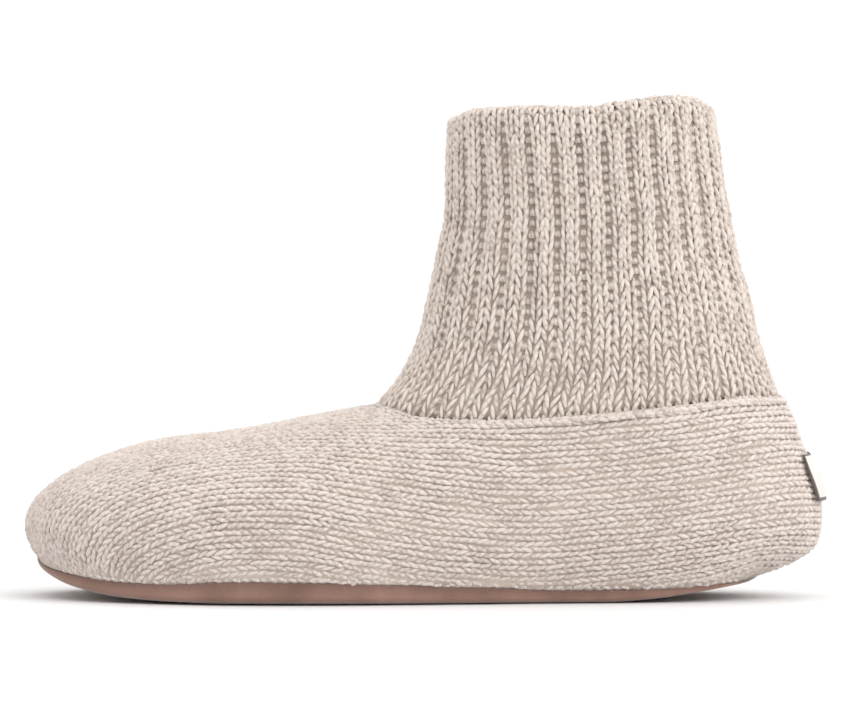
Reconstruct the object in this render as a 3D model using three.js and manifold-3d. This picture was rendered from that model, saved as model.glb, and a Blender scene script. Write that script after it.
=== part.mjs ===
// Knitted slipper sock for the left foot: a ribbed shaft sewn to a plain-knit foot on a suede sole.
// Millimetres, +Z up. The toe points to -X, the heel to +X, and the outer side of the foot to -Y.
// The origin is on the floor, under the middle of the slipper.

import * as THREE from 'three';
import { mergeVertices } from 'three/addons/utils/BufferGeometryUtils.js';
import Module from 'manifold-3d';

// Driving dimensions
const toeX = -135.5;
const heelX = 134.1;
const heelLine = -1.35;
const toeHeight = 24.6;
const heelHeight = 26.6;
const footWall = 3;
const shaftWall = 4;
const hemWall = 6.5;
const hemDepth = 24;
const fit = 0.3;
const collarLap = 1.8;

const soleTip = -131.3;
const soleEnd = 111;
const soleLeather = 2;
const soleRimWidth = 2.6;
const soleTaper = 0.3;
const soleEdgeRound = 8;
const insoleThickness = 3;
const insoleEdge = 1;

const ribCount = 29;
const ribDepth = 1.3;

const label = { halfWidth: 15, top: 48.8, bottom: 33.2, standOff: 0.35, thickness: 0.7, swing: 3 };

// Sections of the foot from toe to heel.
// half: widest half width, middle: its centre from the heel line, wide: its height,
// edge: lowest line of the knit, crest: height of the ridge,
// square: how square the section is above its widest line.
const footTable = [
  { x: toeX, half: 0, middle: 8, wide: toeHeight, edge: toeHeight, crest: toeHeight, square: 2 },
  { x: -133.4, half: 12, middle: 7.8, wide: 24.3, edge: 16.2, crest: 31.3, square: 2 },
  { x: -128.3, half: 22.3, middle: 7.4, wide: 23.8, edge: 11.2, crest: 36.9, square: 2 },
  { x: -118, half: 32.6, middle: 6.5, wide: 23.2, edge: 8.9, crest: 43.6, square: 2.05 },
  { x: -103, half: 41, middle: 5.2, wide: 23, edge: 7.2, crest: 49.7, square: 2.1 },
  { x: -88, half: 45.8, middle: 3.8, wide: 23, edge: 6.8, crest: 53.5, square: 2.1 },
  { x: -62, half: 48.8, middle: 1.4, wide: 23.4, edge: 7.9, crest: 56.9, square: 2.1 },
  { x: -38, half: 47.6, middle: 0.2, wide: 25, edge: 7.6, crest: 61.5, square: 2.05 },
  { x: -15.2, half: 44.6, middle: 0, wide: 27.4, edge: 6.9, crest: 65.4, square: 2.1 },
  { x: 20, half: 41.8, middle: 0, wide: 32, edge: 5.7, crest: 68, square: 3.4 },
  { x: 50, half: 40.4, middle: 0, wide: 34, edge: 4.5, crest: 77, square: 4.4 },
  { x: 80, half: 38.8, middle: 0, wide: 34, edge: 4.8, crest: 79, square: 4.2 },
  { x: 100, half: 34.6, middle: 0, wide: 32, edge: 6, crest: 78, square: 3.2 },
  { x: soleEnd, half: 30.8, middle: 0, wide: 30.5, edge: 6.9, crest: 76, square: 2.6 },
  { x: 120, half: 26, middle: 0, wide: 29, edge: 9.8, crest: 69, square: 2.2 },
  { x: 124.5, half: 22.8, middle: 0, wide: 28.2, edge: 11.7, crest: 60.8, square: 2.1 },
  { x: 128, half: 19, middle: 0, wide: 27.6, edge: 13.7, crest: 51, square: 2.05 },
  { x: 132, half: 12.6, middle: 0, wide: 27, edge: 17.2, crest: 42.4, square: 2 },
  { x: heelX, half: 0, middle: 0, wide: heelHeight, edge: heelHeight, crest: heelHeight, square: 2 },
];

// Sections of the sole, whose rim follows the lowest line of the knit.
// half: half width, middle: its centre from the heel line, under: height of its underside.
const soleTable = [
  { x: soleTip, half: 0, middle: 8, under: 13 },
  { x: -127, half: 17.5, middle: 7.6, under: 8.4 },
  { x: -118, half: 27.7, middle: 6.8, under: 4.6 },
  { x: -103, half: 36.7, middle: 5.4, under: 1.7 },
  { x: -86, half: 42, middle: 3.6, under: 0.5 },
  { x: -66, half: 44.8, middle: 1.4, under: 0 },
  { x: -28, half: 41.6, middle: -2.2, under: 0 },
  { x: 10, half: 35.4, middle: -3.4, under: 0 },
  { x: 40, half: 32.2, middle: -1.6, under: 0 },
  { x: 60, half: 31.2, middle: -0.6, under: 0 },
  { x: 75, half: 30, middle: 0, under: 0.9 },
  { x: 89, half: 27.2, middle: 0, under: 2.8 },
  { x: 101, half: 21.6, middle: 0, under: 4.7 },
  { x: soleEnd, half: 0, middle: 0, under: 6.8 },
];

// Outline of the shaft from below the seam to the rim, by height.
const shaftTable = [
  { z: 56.7, front: -20, back: 122.4, half: 37.8 },
  { z: 66.7, front: -15.2, back: 119.8, half: 37.6 },
  { z: 74.7, front: -9, back: 117.2, half: 37.3 },
  { z: 86.7, front: -3.2, back: 113, half: 36.9 },
  { z: 101.7, front: 0.9, back: 109.4, half: 36.5 },
  { z: 116.7, front: 4.1, back: 105, half: 36.2 },
  { z: 131.7, front: 6.8, back: 102.2, half: 36 },
  { z: 146.7, front: 7.1, back: 99.8, half: 35.8 },
  { z: 168.7, front: 7.2, back: 97, half: 35.4 },
];

// Seam between foot and shaft, from the front of the ankle to the back.
const seamTable = [
  { x: -24, z: 72 },
  { x: -15.2, z: 65.4 },
  { x: -9, z: 63.6 },
  { x: 0, z: 61.9 },
  { x: 12, z: 61.2 },
  { x: 28, z: 61.6 },
  { x: 60, z: 63.9 },
  { x: 90, z: 66.8 },
  { x: 108, z: 68.6 },
  { x: 120, z: 68 },
  { x: 130, z: 67 },
];

// Height of the rim across the shaft, from its front, -1, to its back, 1.
const rimTable = [
  { along: -1, z: 161.2 },
  { along: -0.8, z: 164.3 },
  { along: -0.3, z: 165.1 },
  { along: 0, z: 164.7 },
  { along: 0.35, z: 166.7 },
  { along: 0.75, z: 168.5 },
  { along: 1, z: 165.1 },
];

// Helpers

const wasm = await Module();
wasm.setup();

const mix = THREE.MathUtils.lerp;

// Angle of a place between two ends: even steps of it crowd together at both ends.
function endAngle(x, from, to) {
  const share = THREE.MathUtils.clamp((x - from) / (to - from), 0, 1);
  return Math.acos(1 - 2 * share);
}

// Places between two ends, crowded together at both, without the ends themselves.
function places(from, to, steps) {
  return Array.from({ length: steps - 1 }, (_, i) => {
    const angle = (Math.PI * (i + 1)) / steps;
    return mix(from, to, (1 - Math.cos(angle)) / 2);
  });
}

// A smooth curve through one column of a table that never swings past its rows.
function column(table, key, name, place = (value) => value) {
  const at = table.map((row) => place(row[key]));
  const height = table.map((row) => row[name]);
  const rise = at.slice(1).map((end, i) => (height[i + 1] - height[i]) / (end - at[i]));
  const slope = at.map((_, i) => {
    const before = rise[Math.max(i - 1, 0)];
    const after = rise[Math.min(i, rise.length - 1)];
    return before * after > 0 ? (2 * before * after) / (before + after) : 0;
  });
  return (value) => {
    const s = THREE.MathUtils.clamp(place(value), at[0], at.at(-1));
    const i = Math.min(at.findLastIndex((start) => start <= s), rise.length - 1);
    const span = at[i + 1] - at[i];
    const t = (s - at[i]) / span;
    const blend = t * t * (3 - 2 * t);
    const bend = t * (1 - t) * span * (slope[i] * (1 - t) - slope[i + 1] * t);
    return mix(height[i], height[i + 1], blend) + bend;
  };
}

// A closed body through rings of equally many points, with a point at each end.
function loft(first, rings, last) {
  const around = rings[0].length;
  const points = [first, ...rings.flat(), last];
  const end = points.length - 1;
  const faces = [];
  const index = (ring, place) => 1 + ring * around + (place % around);
  for (let place = 0; place < around; place += 1) {
    faces.push(0, index(0, place + 1), index(0, place));
    faces.push(end, index(rings.length - 1, place), index(rings.length - 1, place + 1));
    for (let ring = 1; ring < rings.length; ring += 1) {
      const near = [index(ring - 1, place), index(ring - 1, place + 1)];
      const far = [index(ring, place), index(ring, place + 1)];
      faces.push(near[0], near[1], far[1], near[0], far[1], far[0]);
    }
  }
  const geometry = new THREE.BufferGeometry().setFromPoints(points);
  geometry.setIndex(faces);
  geometry.computeVertexNormals();
  return geometry;
}

// A loft whose ends are closed flat, at the middle of its first and last rings.
function cappedLoft(rings) {
  const middle = (ring) => {
    const sum = ring.reduce((total, point) => total.add(point), new THREE.Vector3());
    return sum.divideScalar(ring.length);
  };
  return loft(middle(rings[0]), rings, middle(rings.at(-1)));
}

// The same surface moved along its normals.
function offset(geometry, distance) {
  const moved = geometry.clone();
  const place = moved.attributes.position;
  const point = new THREE.Vector3();
  const normal = new THREE.Vector3();
  for (let i = 0; i < place.count; i += 1) {
    point.fromBufferAttribute(place, i);
    normal.fromBufferAttribute(geometry.attributes.normal, i);
    point.addScaledVector(normal, distance);
    place.setXYZ(i, point.x, point.y, point.z);
  }
  return moved;
}

function solid(geometry) {
  const bare = geometry.clone();
  bare.deleteAttribute('normal');
  bare.deleteAttribute('uv');
  const merged = mergeVertices(bare, 1e-4);
  return new wasm.Manifold(new wasm.Mesh({
    numProp: 3,
    vertProperties: new Float32Array(merged.attributes.position.array),
    triVerts: new Uint32Array(merged.index.array),
  }));
}

// A block over an outline in X and Z that runs right across the slipper.
function crosswise(outline) {
  const width = 160;
  const shape = new THREE.Shape(outline);
  const geometry = new THREE.ExtrudeGeometry(shape, { depth: width, bevelEnabled: false });
  geometry.rotateX(Math.PI / 2);
  geometry.translate(0, width / 2, 0);
  return solid(geometry);
}

function mesh(name, body, look) {
  const cut = body.getMesh();
  const geometry = new THREE.BufferGeometry();
  geometry.setAttribute('position', new THREE.BufferAttribute(cut.vertProperties, 3));
  geometry.setIndex(new THREE.BufferAttribute(cut.triVerts, 1));
  geometry.computeVertexNormals();
  const made = new THREE.Mesh(geometry, new THREE.MeshStandardMaterial(look));
  made.name = name;
  return made;
}

// Curves of the tables

const alongFoot = (x) => endAngle(x, toeX, heelX);
const alongSole = (x) => endAngle(x, soleTip, soleEnd);
const foot = {};
for (const name of ['half', 'middle', 'wide', 'edge', 'crest', 'square']) {
  foot[name] = column(footTable, 'x', name, alongFoot);
}
const sole = {};
for (const name of ['half', 'middle', 'under']) {
  sole[name] = column(soleTable, 'x', name, alongSole);
}
const shaft = {};
for (const name of ['front', 'back', 'half']) {
  shaft[name] = column(shaftTable, 'z', name);
}
const seamHeight = column(seamTable, 'x', 'z');
const rimHeight = column(rimTable, 'along', 'z');

// Seam line between foot and shaft, raised by a gap, as points in X and Z.
function seamLine(gap) {
  const steps = 40;
  const from = seamTable[0].x;
  const to = seamTable.at(-1).x;
  return Array.from({ length: steps + 1 }, (_, i) => {
    const x = mix(from, to, i / steps);
    return new THREE.Vector2(x, seamHeight(x) + gap);
  });
}

// Half width of the foot's open top, just outside the shaft that stands on it.
function collarHalf(x) {
  const z = seamHeight(x);
  const front = shaft.front(z);
  const back = shaft.back(z) + collarLap;
  const along = (2 * (x - front)) / (back - front) - 1;
  return (shaft.half(z) + collarLap) * Math.sqrt(Math.max(1 - along * along, 0));
}

// Foot

// Height of the ridge. Behind the instep the side wall is aimed at the collar line instead.
function crestHeight(x) {
  const share = collarHalf(x) / foot.half(x);
  if (share === 0) {
    return foot.crest(x);
  }
  const square = foot.square(x);
  const aim = (1 - share ** square) ** (1 / square);
  return foot.wide(x) + (seamHeight(x) - foot.wide(x)) / aim;
}

// A quarter of a section in even steps, from its top or bottom to its widest point.
function quarter(half, height, square, steps) {
  const fine = 60;
  const curve = Array.from({ length: fine + 1 }, (_, i) => {
    const turn = (Math.PI / 2) * (i / fine);
    const out = half * Math.sin(turn) ** (2 / square);
    return new THREE.Vector2(out, height * Math.max(Math.cos(turn), 0) ** (2 / square));
  });
  return new THREE.SplineCurve(curve).getSpacedPoints(steps);
}

// A ring around the foot: from the ridge down the outer side, under the foot and up the inner side.
function footSection(x, steps) {
  const half = foot.half(x);
  const wide = foot.wide(x);
  const edge = foot.edge(x);
  const share = sole.half(x) / half;
  const depth = (wide - edge) / Math.sqrt(1 - share * share);
  const upper = quarter(half, crestHeight(x) - wide, foot.square(x), steps);
  const lower = quarter(half, -depth, 2, steps);
  const side = [...upper, ...lower.slice(0, -1).reverse()];
  const ring = [...side.map((p) => [-p.x, p.y]), ...side.slice(1, -1).reverse().map((p) => [p.x, p.y])];
  return ring.map(([out, up]) => {
    const fall = THREE.MathUtils.smoothstep(-up / (wide - edge), 0, 1);
    return new THREE.Vector3(x, heelLine + out + mix(foot.middle(x), sole.middle(x), fall), wide + up);
  });
}

function footLoft(stations, steps) {
  const toe = new THREE.Vector3(toeX, heelLine + foot.middle(toeX), toeHeight);
  const heel = new THREE.Vector3(heelX, heelLine, heelHeight);
  const rings = places(toeX, heelX, stations).map((x) => footSection(x, steps));
  return loft(toe, rings, heel);
}

// The room that the sole takes out of the foot, up to its rim.
function solePlug() {
  const room = 2 * fit;
  const floor = -40;
  const rings = soleStations(0).map(({ x, half }) => {
    const top = foot.edge(x) + fit;
    const corners = [[-1, top], [-1, floor], [1, floor], [1, top]];
    return corners.map(([side, z]) => solePoint(x, side, half + room, z));
  });
  const tip = solePoint(soleTip, 0, 0, foot.edge(soleTip) + fit);
  const end = solePoint(soleEnd, 0, 0, foot.edge(soleEnd) + fit);
  tip.x -= room;
  end.x += room;
  return solid(loft(tip, rings, end));
}

function footSolid() {
  const ceiling = 240;
  const open = seamLine(0);
  open.push(new THREE.Vector2(open.at(-1).x, ceiling), new THREE.Vector2(open[0].x, ceiling));
  return solid(footLoft(38, 10))
    .subtract(solid(offset(footLoft(28, 7), -footWall)))
    .subtract(solePlug())
    .subtract(crosswise(open));
}

// Shaft

// A point of the shaft: turn goes around from its front, up goes from the seam, 0, to the rim, 1.
function shaftPoint(turn, up, inset, drop) {
  const along = -Math.cos(turn);
  const share = (along + 1) / 2;
  const seam = seamHeight(mix(shaft.front(66), shaft.back(66), share));
  const z = mix(seam, rimHeight(along), up) - drop;
  const x = mix(shaft.front(z) + inset, shaft.back(z) - inset, share);
  return new THREE.Vector3(x, heelLine - Math.sin(turn) * (shaft.half(z) - inset), z);
}

function shaftRing(count, up, inset, drop, relief = () => 0) {
  return Array.from({ length: count }, (_, i) => {
    return shaftPoint((2 * Math.PI * i) / count, up, inset + relief(i), drop);
  });
}

// Rings over the rounded rim, from its outer side over the top.
function rimBend(degrees) {
  const radius = hemWall / 2;
  const angle = THREE.MathUtils.degToRad(degrees);
  return { inset: radius * (1 - Math.cos(angle)), drop: radius * (1 - Math.sin(angle)) };
}

function shaftSolid() {
  const ribSides = 3;
  const groove = (i) => (i % ribSides === 0 ? ribDepth : 0);
  const outside = [shaftRing(ribCount * ribSides, 0, 0, 4, groove)];
  const levels = 9;
  for (let level = 0; level < levels; level += 1) {
    outside.push(shaftRing(ribCount * ribSides, level / levels, 0, 0, groove));
  }
  for (const degrees of [0, 35, 90]) {
    const bend = rimBend(degrees);
    outside.push(shaftRing(ribCount * ribSides, 1, bend.inset, bend.drop, groove));
  }

  const turns = 44;
  const inside = [shaftRing(turns, 0, shaftWall, 8)];
  for (const up of [0, 0.15, 0.3, 0.5]) {
    inside.push(shaftRing(turns, up, shaftWall, 0));
  }
  inside.push(shaftRing(turns, 1, shaftWall, hemDepth));
  inside.push(shaftRing(turns, 1, hemWall, hemDepth - 2));
  for (const degrees of [0, 45]) {
    const bend = rimBend(degrees);
    inside.push(shaftRing(turns, 1, hemWall - bend.inset, bend.drop));
  }
  inside.push(shaftRing(turns, 1, hemWall / 2, -2));

  const below = seamLine(fit);
  const left = shaft.front(0) - 40;
  below.push(new THREE.Vector2(below.at(-1).x, 0), new THREE.Vector2(left, 0));
  below.push(new THREE.Vector2(left, below[0].y));
  return solid(cappedLoft(outside))
    .subtract(solid(cappedLoft(inside)))
    .subtract(crosswise(below));
}

// Sole and insole

// Rise of the sole's dish from its middle, 0, to its rim, 1.
function dish(across) {
  return 1 - (1 - Math.abs(across) ** soleEdgeRound) ** (1 / soleEdgeRound);
}

// A point of the sole or insole, from its outer side, -1, to its inner side, 1.
function solePoint(x, across, half, z) {
  return new THREE.Vector3(x, heelLine + sole.middle(x) + across * half, z);
}

// Places across the sole from its outer side, -1, to its inner side, 1, crowded at both edges.
const acrossSole = [-1, ...places(-1, 1, 14), 1];

// Stations along the sole, each with its outer place and the one drawn in from both tips.
function soleStations(inset) {
  const steps = 30;
  const outer = places(soleTip, soleEnd, steps);
  const inner = places(soleTip + inset, soleEnd - inset, steps);
  return outer.map((x, i) => ({ x: inner[i], half: sole.half(x) ** 2 / (sole.half(x) + inset) }));
}

function soleSolid() {
  const outer = soleStations(0).map(({ x, half }) => acrossSole.map((across) => {
    const under = Math.min(sole.under(x), foot.edge(x) - soleTaper);
    return solePoint(x, across, half, mix(under, foot.edge(x), dish(across)));
  }));
  const inner = soleStations(soleRimWidth).map(({ x, half }) => acrossSole.map((across) => {
    const floor = sole.under(x) + soleLeather;
    const above = Math.max(foot.edge(x), floor) + 1;
    return solePoint(x, across, half, mix(floor, above, dish(across)));
  }));
  return solid(cappedLoft(outer)).subtract(solid(cappedLoft(inner)));
}

function insoleSolid() {
  const inset = soleRimWidth + 4 * fit;
  const rings = soleStations(inset).map(({ x, half }) => {
    const floor = sole.under(x) + soleLeather + fit;
    const rise = Math.max(foot.edge(x) - sole.under(x) - soleLeather, 0);
    const bottom = acrossSole.map((across) => {
      const lift = Math.min(rise * dish(across), insoleThickness - insoleEdge);
      return solePoint(x, across, half, floor + lift);
    });
    const top = [1, -1].map((across) => solePoint(x, across, half, floor + insoleThickness));
    return [...bottom, ...top];
  });
  const room = solid(offset(footLoft(28, 7), -footWall - fit));
  return solid(cappedLoft(rings)).intersect(room);
}

// Label

// A strip around the back of the heel, cut from the foot's own surface and swung out at its lower end.
function labelSolid() {
  const heel = footLoft(38, 10);
  const under = offset(heel, label.standOff);
  const over = offset(heel, label.standOff + label.thickness);
  const strip = solid(over).subtract(solid(under));
  const block = new THREE.BoxGeometry(40, 2 * label.halfWidth, label.top - label.bottom);
  block.translate(heelX, heelLine, (label.top + label.bottom) / 2);
  const cut = strip.intersect(solid(block)).getMesh();
  const geometry = new THREE.BufferGeometry();
  geometry.setAttribute('position', new THREE.BufferAttribute(cut.vertProperties, 3));
  geometry.setIndex(new THREE.BufferAttribute(cut.triVerts, 1));
  geometry.computeBoundingBox();
  const pivot = geometry.boundingBox.min.x;
  geometry.translate(-pivot, 0, -label.top);
  geometry.rotateY(THREE.MathUtils.degToRad(-label.swing));
  geometry.translate(pivot, 0, label.top);
  return solid(geometry);
}

// Slipper

const yarn = { color: '#cfc5ba', roughness: 0.95, metalness: 0 };
const suede = { color: '#8b7265', roughness: 0.9, metalness: 0 };
const felt = { color: '#d8cfc3', roughness: 1, metalness: 0 };
const ribbon = { color: '#e2ddd4', roughness: 0.7, metalness: 0 };

const group = new THREE.Group();
group.add(mesh('sole', soleSolid(), suede));
group.add(mesh('insole', insoleSolid(), felt));
group.add(mesh('foot', footSolid(), yarn));
group.add(mesh('shaft', shaftSolid(), yarn));
group.add(mesh('heel_label', labelSolid(), ribbon));

export default group;
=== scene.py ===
"""Knitted slipper sock: marled wool stitches on a soft wall, a ribbed shaft and a suede sole."""

import math

import bmesh
import bpy
import numpy as np
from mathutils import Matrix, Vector
from mathutils.bvhtree import BVHTree


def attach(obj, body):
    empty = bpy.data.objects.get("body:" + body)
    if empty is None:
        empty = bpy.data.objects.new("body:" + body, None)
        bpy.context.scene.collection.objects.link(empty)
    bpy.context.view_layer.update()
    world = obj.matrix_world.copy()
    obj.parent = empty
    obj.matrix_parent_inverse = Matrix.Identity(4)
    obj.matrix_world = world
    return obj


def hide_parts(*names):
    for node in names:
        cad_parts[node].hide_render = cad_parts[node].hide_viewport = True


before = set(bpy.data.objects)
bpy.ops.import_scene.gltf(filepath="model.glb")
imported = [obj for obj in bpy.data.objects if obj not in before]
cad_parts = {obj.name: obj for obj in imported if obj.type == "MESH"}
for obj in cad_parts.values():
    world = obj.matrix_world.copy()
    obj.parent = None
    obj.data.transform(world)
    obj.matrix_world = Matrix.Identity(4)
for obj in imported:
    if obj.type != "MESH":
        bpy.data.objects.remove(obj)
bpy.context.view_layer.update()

bl_info = {
    "name": "Knitted Slipper Sock",
    "version": (1, 0, 0),
    "blender": (4, 5, 0),
    "location": "View3D > Sidebar > Slipper",
    "description": "Builds a ribbed and plain-knit slipper sock on a suede sole",
    "category": "Add Mesh",
}

MM = 0.001
BODY = "root"

# The last and its sewn lines, in millimetres. The toe points to -X and the outer side to -Y.
TOE_X = -135.5
HEEL_X = 134.1
HEEL_LINE = -1.35
TOE_HEIGHT = 24.6
HEEL_HEIGHT = 26.6
SOLE_TIP = -131.3
SOLE_END = 111
FOOT_WALL = 3
SHAFT_WALL = 4
HEM_WALL = 6.5
HEM_DEPTH = 24
COLLAR_LAP = 1.8
FIT = 0.3
SOLE_LEATHER = 2
SOLE_EDGE_ROUND = 8
SOLE_RIM_WIDTH = 2.6
SOLE_TAPER = 0.3
INSOLE_THICKNESS = 3
INSOLE_EDGE = 1
RIB_COUNT = 29
LABEL_HALF = 15
LABEL_TOP = 48.8
LABEL_BOTTOM = 33.2
LABEL_STAND_OFF = 0.35
LABEL_THICKNESS = 0.7
LABEL_SWING = math.radians(3)
LABEL_BORDER = 0.6
LABEL_ENDS = 1.1
LABEL_FACES = 4
LABEL_EDGE_ROUND = 12


def table(names, rows):
    """Named columns of a short table."""
    columns = np.array(rows, float).T
    return dict(zip(names.split(), columns))


FOOT = table("x half middle wide edge crest square", [
    (TOE_X, 0, 8, TOE_HEIGHT, TOE_HEIGHT, TOE_HEIGHT, 2),
    (-133.4, 12, 7.8, 24.3, 16.2, 31.3, 2),
    (-128.3, 22.3, 7.4, 23.8, 11.2, 36.9, 2),
    (-118, 32.6, 6.5, 23.2, 8.9, 43.6, 2.05),
    (-103, 41, 5.2, 23, 7.2, 49.7, 2.1),
    (-88, 45.8, 3.8, 23, 6.8, 53.5, 2.1),
    (-62, 48.8, 1.4, 23.4, 7.9, 56.9, 2.1),
    (-38, 47.6, 0.2, 25, 7.6, 61.5, 2.05),
    (-15.2, 44.6, 0, 27.4, 6.9, 65.4, 2.1),
    (20, 41.8, 0, 32, 5.7, 68, 3.4),
    (50, 40.4, 0, 34, 4.5, 77, 4.4),
    (80, 38.8, 0, 34, 4.8, 79, 4.2),
    (100, 34.6, 0, 32, 6, 78, 3.2),
    (SOLE_END, 30.8, 0, 30.5, 6.9, 76, 2.6),
    (120, 26, 0, 29, 9.8, 69, 2.2),
    (124.5, 22.8, 0, 28.2, 11.7, 60.8, 2.1),
    (128, 19, 0, 27.6, 13.7, 51, 2.05),
    (132, 12.6, 0, 27, 17.2, 42.4, 2),
    (HEEL_X, 0, 0, HEEL_HEIGHT, HEEL_HEIGHT, HEEL_HEIGHT, 2),
])

SOLE = table("x half middle under", [
    (SOLE_TIP, 0, 8, 13),
    (-127, 17.5, 7.6, 8.4),
    (-118, 27.7, 6.8, 4.6),
    (-103, 36.7, 5.4, 1.7),
    (-86, 42, 3.6, 0.5),
    (-66, 44.8, 1.4, 0),
    (-28, 41.6, -2.2, 0),
    (10, 35.4, -3.4, 0),
    (40, 32.2, -1.6, 0),
    (60, 31.2, -0.6, 0),
    (75, 30, 0, 0.9),
    (89, 27.2, 0, 2.8),
    (101, 21.6, 0, 4.7),
    (SOLE_END, 0, 0, 6.8),
])

SHAFT = table("z front back half", [
    (56.7, -20, 122.4, 37.8),
    (66.7, -15.2, 119.8, 37.6),
    (74.7, -9, 117.2, 37.3),
    (86.7, -3.2, 113, 36.9),
    (101.7, 0.9, 109.4, 36.5),
    (116.7, 4.1, 105, 36.2),
    (131.7, 6.8, 102.2, 36),
    (146.7, 7.1, 99.8, 35.8),
    (168.7, 7.2, 97, 35.4),
])

SEAM = table("x z", [
    (-24, 72), (-15.2, 65.4), (-9, 63.6), (0, 61.9), (12, 61.2), (28, 61.6),
    (60, 63.9), (90, 66.8), (108, 68.6), (120, 68), (130, 67),
])

RIM = table("along z", [
    (-1, 161.2), (-0.8, 164.3), (-0.3, 165.1), (0, 164.7), (0.35, 166.7), (0.75, 168.5), (0.92, 167.6),
    (1, 165.1),
])


# Curves of the tables

def mix(start, end, share):
    """The value that lies a share of the way from start to end."""
    return start + (end - start) * share


def smooth(share):
    """A share from 0 to 1 that leaves and arrives gently."""
    share = np.clip(share, 0, 1)
    return share * share * (3 - 2 * share)


def end_angle(start, end):
    """Places between two ends as angles, which crowd together at both."""
    return lambda x: np.arccos(1 - 2 * np.clip((x - start) / (end - start), 0, 1))


def crowded(start, end, steps):
    """Places from one end to the other, crowded together at both."""
    return mix(start, end, (1 - np.cos(np.linspace(0, math.pi, steps + 1))) / 2)


def curve(rows, key, name, place=lambda value: value):
    """A smooth curve through one column of a table that never swings past its rows."""
    at = place(rows[key])
    height = rows[name]
    rise = np.diff(height) / np.diff(at)
    before = np.concatenate([rise[:1], rise])
    after = np.concatenate([rise, rise[-1:]])
    same_way = before * after > 0
    slope = np.where(same_way, 2 * before * after / np.where(same_way, before + after, 1), 0)

    def value_at(value):
        s = np.clip(place(np.asarray(value, float)), at[0], at[-1])
        i = np.clip(np.searchsorted(at, s, side="right") - 1, 0, len(rise) - 1)
        span = at[i + 1] - at[i]
        t = (s - at[i]) / span
        bend = t * (1 - t) * span * (slope[i] * (1 - t) - slope[i + 1] * t)
        return mix(height[i], height[i + 1], smooth(t)) + bend

    return value_at


along_foot = end_angle(TOE_X, HEEL_X)
along_sole = end_angle(SOLE_TIP, SOLE_END)
foot = {name: curve(FOOT, "x", name, along_foot) for name in list(FOOT)[1:]}
sole = {name: curve(SOLE, "x", name, along_sole) for name in list(SOLE)[1:]}
shaft = {name: curve(SHAFT, "z", name) for name in list(SHAFT)[1:]}
seam_height = curve(SEAM, "x", "z")
rim_height = curve(RIM, "along", "z")


def lengths(points):
    """Length along a line of points, from its start."""
    steps = np.linalg.norm(np.diff(points, axis=0), axis=1)
    return np.concatenate([[0], np.cumsum(steps)])


def at_length(points, wanted, length=None):
    """Points of a line at the wanted lengths along it."""
    length = lengths(points) if length is None else length
    return np.stack([np.interp(wanted, length, column) for column in points.T], axis=-1)


def unit(vectors):
    """The same directions, 1 long."""
    return vectors / np.maximum(np.linalg.norm(vectors, axis=-1, keepdims=True), 1e-9)


# The last

def collar_half(x):
    """Half width of the foot's open top, just outside the shaft that stands on it."""
    z = seam_height(x)
    front = shaft["front"](z)
    back = shaft["back"](z) + COLLAR_LAP
    along = 2 * (x - front) / (back - front) - 1
    return (shaft["half"](z) + COLLAR_LAP) * math.sqrt(max(1 - along * along, 0))


def crest_height(x):
    """Height of the ridge. Behind the instep the side wall is aimed at the collar line instead."""
    share = collar_half(x) / foot["half"](x)
    if share == 0:
        return foot["crest"](x)
    square = foot["square"](x)
    aim = (1 - share ** square) ** (1 / square)
    return foot["wide"](x) + (seam_height(x) - foot["wide"](x)) / aim


def quarter(half, height, square, steps):
    """A quarter of a section in even steps, from its top or bottom to its widest point."""
    turn = np.linspace(0, math.pi / 2, 121)
    out = half * np.sin(turn) ** (2 / square)
    up = height * np.maximum(np.cos(turn), 0) ** (2 / square)
    line = np.stack([out, up], axis=-1)
    return at_length(line, np.linspace(0, lengths(line)[-1], steps + 1))


def foot_section(x, steps):
    """A ring around the foot: from the ridge down the outer side, under it and up the inner side."""
    half, wide, edge = (foot[name](x) for name in ("half", "wide", "edge"))
    share = sole["half"](x) / half
    depth = (wide - edge) / math.sqrt(1 - share * share)
    upper = quarter(half, crest_height(x) - wide, foot["square"](x), steps)
    lower = quarter(half, -depth, 2, steps)
    side = np.concatenate([upper, lower[:-1][::-1]])
    ring = np.concatenate([side * (-1, 1), side[1:-1][::-1]])
    fall = smooth(-ring[:, 1] / (wide - edge))
    y = HEEL_LINE + ring[:, 0] + mix(foot["middle"](x), sole["middle"](x), fall)
    return np.stack([np.full(len(ring), x), y, wide + ring[:, 1]], axis=-1)


LAST_STATIONS = 150
LAST_STEPS = 26
last_x = crowded(TOE_X, HEEL_X, LAST_STATIONS)[1:-1]
last_rings = np.array([foot_section(x, LAST_STEPS) for x in last_x])


def last_tree():
    """The last's surface as a tree that finds its nearest places."""
    around = last_rings.shape[1]
    tips = np.array([
        (TOE_X, HEEL_LINE + foot["middle"](TOE_X), TOE_HEIGHT),
        (HEEL_X, HEEL_LINE, HEEL_HEIGHT),
    ])
    points = np.concatenate([last_rings.reshape(-1, 3), tips])
    first = len(points) - 2
    faces = []
    for ring in range(len(last_rings) - 1):
        for place in range(around):
            after = (place + 1) % around
            near = ring * around
            far = near + around
            faces.append((near + place, near + after, far + after, far + place))
    for place in range(around):
        after = (place + 1) % around
        end = (len(last_rings) - 1) * around
        faces.append((first, after, place))
        faces.append((first + 1, end + place, end + after))
    return BVHTree.FromPolygons([Vector(p) for p in points], faces)


last_surface = last_tree()


# Rows of plain knit on the foot. The fans are where the toe's and the heel's planes of lines turn.

TOE_FAN = (-75, -12)
TOE_TURN = 104
TOE_LINES = 54
HEEL_FAN = 60
HEEL_TOP = 74
HEEL_LINES = 40
HEEL_STEPS = 90
BELOW_SOLE = 3
SETTLE_LENGTH = 55
ROW_DIP = 2.5
DIP_START = -45
DIP_END = 12
SHAFT_TOE_END = -19
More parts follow.
